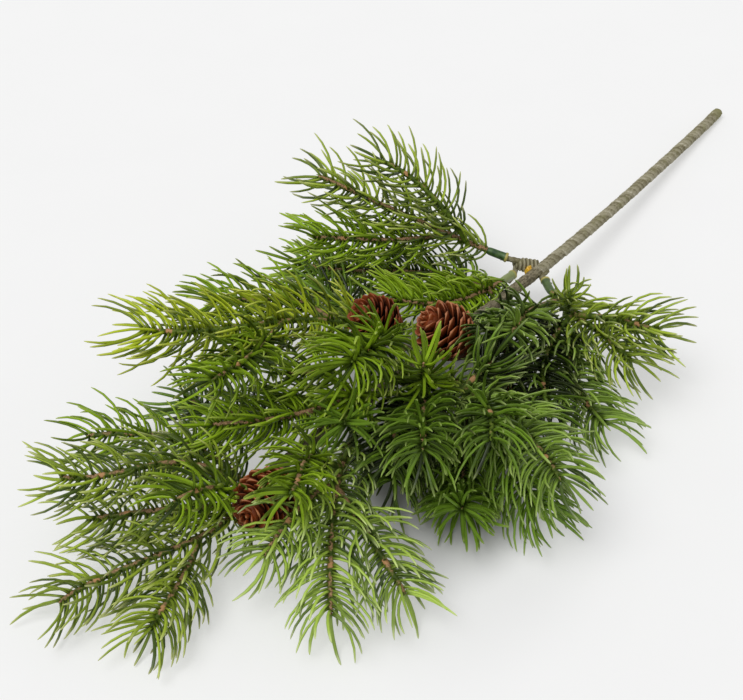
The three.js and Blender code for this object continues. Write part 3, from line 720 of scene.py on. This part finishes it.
def needle_finish(name):
    """Satin plastic blades: tone changes from needle to needle, and points are paler.

    Its marks are the way along a needle, the way across it, and the needle's tone.
    """
    *codes, gloss = SHADES[name]
    deep, body, point, foot = [paint(code) for code in codes]
    material, place, (along, across, tone) = new_finish(name, {"Specular IOR Level": gloss})
    cloud = place.noise(60, 2)
    grain = place.noise(2400, 2)
    colour = (tone * 0.75 + cloud * 0.5 - 0.1).blend(deep, body)
    colour = ((across * across) ** 2 * 0.06 + grain * 0.06).blend(colour, point)
    colour = (along.between(0.7, 1.0) * 0.5).blend(colour, point)
    (0.75 - along.between(0.0, 0.18) * 0.75).blend(colour, foot).into("Base Color")
    (0.28 + grain * 0.16).into("Roughness")
    grain.bump(0.25, 0.0001).into("Normal")
    return material


def twig_finish():
    """Green plastic with matte brown paint wiped over it in patches, and a pale moulding scar.

    Its marks are the distance from the scar in half scars, how far a spot faces up, and how much
    paint is left.
    """
    material, place, (scar, upward, wiped) = new_finish("twig_paint", {"Specular IOR Level": 0.3})
    cloud, grain = place.noise(330, 3), place.noise(1900, 3)
    brown = grain.between(0.3, 0.7).blend(paint(TWIG_BROWN), paint(TWIG_BROWN_PALE))
    green = cloud.between(0.35, 0.65).blend(paint(TWIG_GREEN), paint(TWIG_GREEN_PALE))
    colour = (upward * 0.4 + cloud * 2.0 + wiped - 1.6).between(0.05, 0.35).blend(green, brown)
    pale = (1 - (scar * scar + grain * 0.5 - 0.25).between(0.3, 0.9)) * upward.between(0.0, 0.5)
    pale.blend(colour, paint(SCAR_PALE)).into("Base Color")
    (0.5 + grain * 0.3).into("Roughness")
    (grain + cloud).bump(0.17, 0.0003).into("Normal")
    return material


def sleeve_finish():
    """Smooth moulded tube, dark to greyish light green, with a yellowish flash ring at its mouth.

    Its marks are the share of the way along the sleeve and how light the sleeve is.
    """
    material, place, (along, light, _) = new_finish("sleeve_green", {"Specular IOR Level": 0.5})
    cloud = place.noise(420, 3)
    colour = cloud.between(0.35, 0.7).blend(paint(SLEEVE_DARK_GREEN), paint(SLEEVE_GREEN))
    colour = light.blend(colour, paint(SLEEVE_LIGHT_GREEN))
    (1 - along.between(0.09, 0.16)).blend(colour, paint(SLEEVE_MOUTH)).into("Base Color")
    (0.3 + cloud * 0.25).into("Roughness")
    place.noise(1500, 2).bump(0.2, 0.0002).into("Normal")
    return material


needle_finishes = {name: needle_finish(name) for name in SHADES}
twig_paint = twig_finish()
sleeve_green = sleeve_finish()


def twig_line(name):
    """Middle line of a sprig's twig, from its foot to its point.

    The points of needles are the sharp corners of the solid, where its face angles add up to
    little; the rest is bark. The needles lean forward, so their points lie ahead of the bark.
    """
    corners = triangles_of(name)
    points, index = np.unique(np.round(corners.reshape(-1, 3), 5), axis=0, return_inverse=True)
    one, two = np.roll(corners, 1, axis=1) - corners, np.roll(corners, -1, axis=1) - corners
    cosine = (one * two).sum(-1) / np.linalg.norm(one, axis=-1) / np.linalg.norm(two, axis=-1)
    angle = np.arccos(np.clip(cosine, -1, 1)).ravel()
    sharp = np.bincount(index.ravel(), weights=angle) < SHARP_CORNER
    bark = points[~sharp]
    return middle_line(bark, points[sharp].mean(axis=0) - bark.mean(axis=0), TWIG_DEGREE)


def clear_of_cones(points):
    """Points inside a cone's round form, moved out to its surface from its middle."""
    for centre, axis, half, radius in cone_forms:
        away = points - centre
        along = (away @ axis)[..., None]
        flat = np.linalg.norm(away - along * axis, axis=-1, keepdims=True)
        inside = np.sqrt((along / half) ** 2 + (flat / radius) ** 2) / CONE_ROOM
        points = centre + away / np.minimum(inside, 1)
    return points


def eased_above_zero(height):
    """Half the sum of a height and the root of its square plus the rounding's square."""
    return (height + np.sqrt(height**2 + HEIGHT_ROUNDING**2)) / 2


def needle_arcs(line, length, bare, crowding, size, rng):
    """Middle lines of a sprig's needles, as (needle, station, xyz).

    Needle number n stands n golden turns round the twig, and on a level twig the needles part to
    its two sides. A needle's lean from the twig falls steadily from foot to point, so its middle
    line is an arc, and it sways a little to one side. It goes round the cones, stays above the
    table and arches over below the highest point of the solids. Each needle's directions outward
    and to its flank come with it, and its share of the way along the twig.
    """
    count = int((length - bare) * NEEDLES_PER_METRE * crowding)
    order = np.arange(count)
    run = bare + (length - bare) * (order + rng.uniform(0.25, 0.75, count)) / count
    turn = order * GOLDEN_TURN + rng.normal(0, NEEDLE_TURN_SPREAD, count)
    foot, ahead = follow(line, run / length)
    side = np.cross(ahead, (0, 0, 1))
    level = np.linalg.norm(side, axis=1, keepdims=True)
    side, other = side / level, np.cross(ahead, side / level)
    turn = turn - NEEDLE_PARTING * level[:, 0] ** 2 * np.sin(2 * turn)
    out = np.cos(turn)[:, None] * side + np.sin(turn)[:, None] * other
    flank = np.cross(ahead, out)
    tuft = np.clip((run - length + TUFT_LENGTH) / TUFT_LENGTH, 0, 1)
    lean = np.radians(NEEDLE_LEAN + rng.normal(0, NEEDLE_LEAN_SPREAD, count))
    lean = (lean * (1 - TUFT_CLOSED * tuft))[:, None]
    lean_point = np.radians(NEEDLE_LEAN_POINT + rng.normal(0, NEEDLE_LEAN_POINT_SPREAD, count))
    bend = (lean_point * (1 - TUFT_CLOSED_POINT * tuft))[:, None] - lean
    young = np.clip((run - bare) / FOOT_STRETCH, 0, 1)
    size = size * rng.uniform(*NEEDLE_SIZES, count) * (FOOT_SIZE + (1 - FOOT_SIZE) * young)
    size = (size * (1 - TUFT_SHORTER * tuft))[:, None]
    angle = lean + bend * STATION
    forth = size * (np.sin(angle) - np.sin(lean)) / bend
    aside = size * (np.cos(lean) - np.cos(angle)) / bend
    sway = size * rng.normal(0, NEEDLE_SWAY, count)[:, None] * STATION**2
    middle = (
        (foot + out * TWIG_POINT_RADIUS * NEEDLE_ROOTED)[:, None]
        + forth[..., None] * ahead[:, None]
        + aside[..., None] * out[:, None]
        + sway[..., None] * flank[:, None]
    )
    middle = clear_of_cones(middle)
    middle[..., 2] = eased_above_zero(middle[..., 2])
    middle[..., 2] -= eased_above_zero(middle[..., 2] - cad_box[1][2] + HEIGHT_ROUNDING)
    return middle, out, flank, run / length


def needle_blades(middle, out, flank, share, tone, rng):
    """Blades along a sprig's needle arcs, as (needle, ring, corner, xyz), and their marks.

    A grooved six-cornered section, rolled a little to either side, is carried along each arc and
    shrinks to the point. Needles are painted lighter towards the twig's point and on its upper
    side, and darker inwards and below: painted light and shade.
    """
    path = np.gradient(middle, axis=1)
    path = path / np.linalg.norm(path, axis=-1, keepdims=True)
    wide = flank[:, None] - (flank[:, None] * path).sum(-1, keepdims=True) * path
    wide = wide / np.linalg.norm(wide, axis=-1, keepdims=True)
    roll = rng.normal(0, NEEDLE_ROLL, len(middle))[:, None, None]
    wide = np.cos(roll) * wide + np.sin(roll) * np.cross(path, wide)
    thick = np.cross(path, wide)
    points = middle[:, :, None] + STATION_SIZE[:, None, None] * (
        NEEDLE_HALF_WIDTH * ACROSS[:, None] * wide[:, :, None]
        + NEEDLE_HALF_THICK * DEEP[:, None] * thick[:, :, None]
    )
    points[..., 2] = np.maximum(points[..., 2], 0)
    # Painted light and shade: needles lighter towards the twig's point and on top, darker near its
    # foot and below.
    paler = NEEDLE_PAINTED_LIGHT_OUT * (share - 0.6) + NEEDLE_PAINTED_LIGHT_UP * (out[:, 2] - 0.2)
    tones = (tone + paler + rng.uniform(*NEEDLE_TONES, len(middle)))[:, None, None]
    marks = np.stack(np.broadcast_arrays(STATION[:, None], ACROSS, tones), axis=-1)
    return points, marks


def twig_rod(line, length, start, wiped, rng):
    """A lumpy rod along the twig, tapering to its point, with a low scar a little before it.

    Its radius is the taper times (1 + a bell curve at the scar + two crossed waves as lumps).
    """
    share = np.linspace(start, 1, int(length * (1 - start) / TWIG_SAMPLE))
    turn = np.arange(TWIG_SIDES) / TWIG_SIDES * 2 * np.pi
    taper = TWIG_RADIUS + (TWIG_POINT_RADIUS - TWIG_RADIUS) * np.clip(share, 0, 1)
    taper = taper * np.sqrt(np.clip((1 - share) * length / TWIG_POINT_ROUNDING, 0.1, 1))
    phase = rng.uniform(0, 2 * np.pi, 2)
    lumps = np.sin(share[:, None] * length * 2900 + 3 * turn + phase[0])
    lumps = lumps * np.sin(share[:, None] * length * 1300 - 2 * turn + phase[1])
    scar = ((1 - share) * length - rng.uniform(*SCAR_BEFORE_POINT)) / SCAR_HALF
    swell = 1 + SCAR_SWELL * np.exp(-(scar**2))[:, None]
    rings = rings_round(line, share, taper[:, None] * (swell + TWIG_LUMPS * lumps))
    rings[..., 2] = np.maximum(rings[..., 2], 0)
    upward = (rings - rings.mean(axis=1, keepdims=True))[..., 2] / taper[:, None]
    marks = np.stack(np.broadcast_arrays(scar[:, None], upward, wiped), axis=-1)
    return rings, marks


def sleeve_tube(line, length, light):
    """The leader's sleeve: a rolled lip at its mouth, a plain tube, then a shoulder to the twig.

    Its profile of radius against run is turned round the twig's middle line.
    """
    radius = np.repeat(SLEEVE_RADIUS[:, None], SLEEVE_SIDES, axis=1)
    rings = rings_round(line, SLEEVE_RUN / length, radius)
    along = (SLEEVE_RUN / SLEEVE_RUN[-1])[:, None]
    marks = np.stack(np.broadcast_arrays(along, light, np.zeros_like(radius)), axis=-1)
    return rings, marks


slot_of = {part["node"]: part["material_slot"] for part in frame["record"]["subparts"]}
for order, name in enumerate(sorted(frame["nodes"])):
    leader = name.endswith("_leader")
    if not leader and "_sprig_" not in name:
        continue
    rng = np.random.default_rng(SPRIG_SEED + order)
    spray = name.replace("_leader", "").split("_sprig_")[0]
    own = {**OWN.get(spray, {}), **OWN.get(name, {})}
    slot = slot_of[name]
    line = twig_line(name)
    length = line_length(line)
    bare = own.get("bare", LEADER_BARE if leader else SPRIG_BARE)
    size = NEEDLE_LENGTH * own.get("size", 1.0)
    tone = own.get("tone", DARK_TONE if slot == "needles_dark" else 0.0)
    arcs = needle_arcs(line, length, bare, own.get("crowding", 1.0), size, rng)
    blades, blade_marks = needle_blades(*arcs, tone, rng)
    blade_cells = sheet_rows(len(blades), NEEDLE_COLUMNS, 0.14, 1.0)
    start = (TWIG_IN_SLEEVE if leader else -TWIG_TUCK) / length
    wiped = own.get("paint", rng.uniform(*PAINT_WIPED))
    rod, rod_marks = twig_rod(line, length, start, wiped, rng)
    shells = [
        (closed_tubes(blades, blade_cells, blade_marks), needle_finishes[own.get("look", slot)]),
        (closed_tubes(rod[None], TWIG_CELL, rod_marks), twig_paint),
    ]
    if leader:
        tube, tube_marks = sleeve_tube(line, length, own.get("sleeve", SLEEVE_LIGHT))
        shells.append((closed_tubes(tube[None], SLEEVE_CELL, tube_marks), sleeve_green))
    make_piece(f"{name}_moulding", shells, [name])

# Table, light and camera: a plain pale table top that glows with painted light and has a painted
# shadow under the spray where the glow fades out, one broad soft light high up at the left of the
# picture with a pale room around it, and a camera looking down.
TABLE_HALF = 4.0
TABLE_GREY = "bababa"
TABLE_GREY_CLOUD = "b7b7b7"
TABLE_PAINTED_GLOW = 0.437
TABLE_FULL_GLOW = "ffffff"
TABLE_PAINTED_SHADOW = "000000"
PAINTED_SHADOW_MIDDLE = (-0.0392, -0.0139)
PAINTED_SHADOW_HALF = (0.028, 0.0520)
ROOM_STRENGTH = 0.45
LIGHT_STRENGTH = 1.84
LIGHT_WIDTH = 40
LIGHT_TIPPED = (16, -19)
CAMERA_FROM_BINDING = (-0.42961, -0.25863, 0.40325)
CAMERA_TURN = -52
CAMERA_DOWN = 42
CAMERA_LENS = 79.07
CAMERA_SENSOR = 36
CAMERA_NEAR = 0.01

table_corners = np.array([[-1, -1, 0], [1, -1, 0], [1, 1, 0], [-1, 1, 0]]) * TABLE_HALF
table_mesh = bpy.data.meshes.new("table_top")
table_mesh.from_pydata(table_corners.tolist(), [], [(0, 1, 2, 3)])
table = bpy.data.objects.new("table_top", table_mesh)
bpy.context.scene.collection.objects.link(table)
table_look = {"Roughness": 0.8, "Specular IOR Level": 0.1, "Emission Strength": TABLE_PAINTED_GLOW}
table_finish, place, _ = new_finish("pale_table", table_look)
east, north, _ = place.split()
east, north = east - PAINTED_SHADOW_MIDDLE[0], north - PAINTED_SHADOW_MIDDLE[1]
turned = math.cos(math.radians(CAMERA_TURN)), math.sin(math.radians(CAMERA_TURN))
across = (east * turned[0] + north * turned[1]) * (1 / PAINTED_SHADOW_HALF[0])
ahead = (north * turned[0] - east * turned[1]) * (1 / PAINTED_SHADOW_HALF[1])
away = across * across + ahead * ahead
# Painted light and shadow: the table glows everywhere but an oval under the spray, where the glow
# fades to black.
glow_share = 0.07 + away.between(0.8, 2.6) * 0.81 + away.between(2.4, 6.0) * 0.12
glow_share.blend(paint(TABLE_PAINTED_SHADOW), paint(TABLE_FULL_GLOW)).into("Emission Color")
place.noise(30, 3).blend(paint(TABLE_GREY), paint(TABLE_GREY_CLOUD)).into("Base Color")
table_mesh.materials.append(table_finish)

room = bpy.data.worlds.new("pale_room")
room.use_nodes = True
room.node_tree.nodes["Background"].inputs["Color"].default_value = (1.0, 1.0, 1.0, 1.0)
room.node_tree.nodes["Background"].inputs["Strength"].default_value = ROOM_STRENGTH
bpy.context.scene.world = room
bpy.context.scene.view_settings.view_transform = "Standard"

soft_light = bpy.data.lights.new("soft_light", "SUN")
soft_light.energy = LIGHT_STRENGTH
soft_light.angle = math.radians(LIGHT_WIDTH)
lamp = bpy.data.objects.new("soft_light", soft_light)
lamp.rotation_euler = [math.radians(angle) for angle in (*LIGHT_TIPPED, CAMERA_TURN)]
bpy.context.scene.collection.objects.link(lamp)

picture = bpy.data.cameras.new("picture")
picture.lens = CAMERA_LENS
picture.sensor_width = CAMERA_SENSOR
picture.clip_start = CAMERA_NEAR
camera = bpy.data.objects.new("picture", picture)
binding_middle = np.mean(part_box("tape_binding"), axis=0)
camera.location = binding_middle + CAMERA_FROM_BINDING
camera.rotation_euler = (math.radians(90 - CAMERA_DOWN), 0, math.radians(CAMERA_TURN))
bpy.context.scene.collection.objects.link(camera)
bpy.context.scene.camera = camera
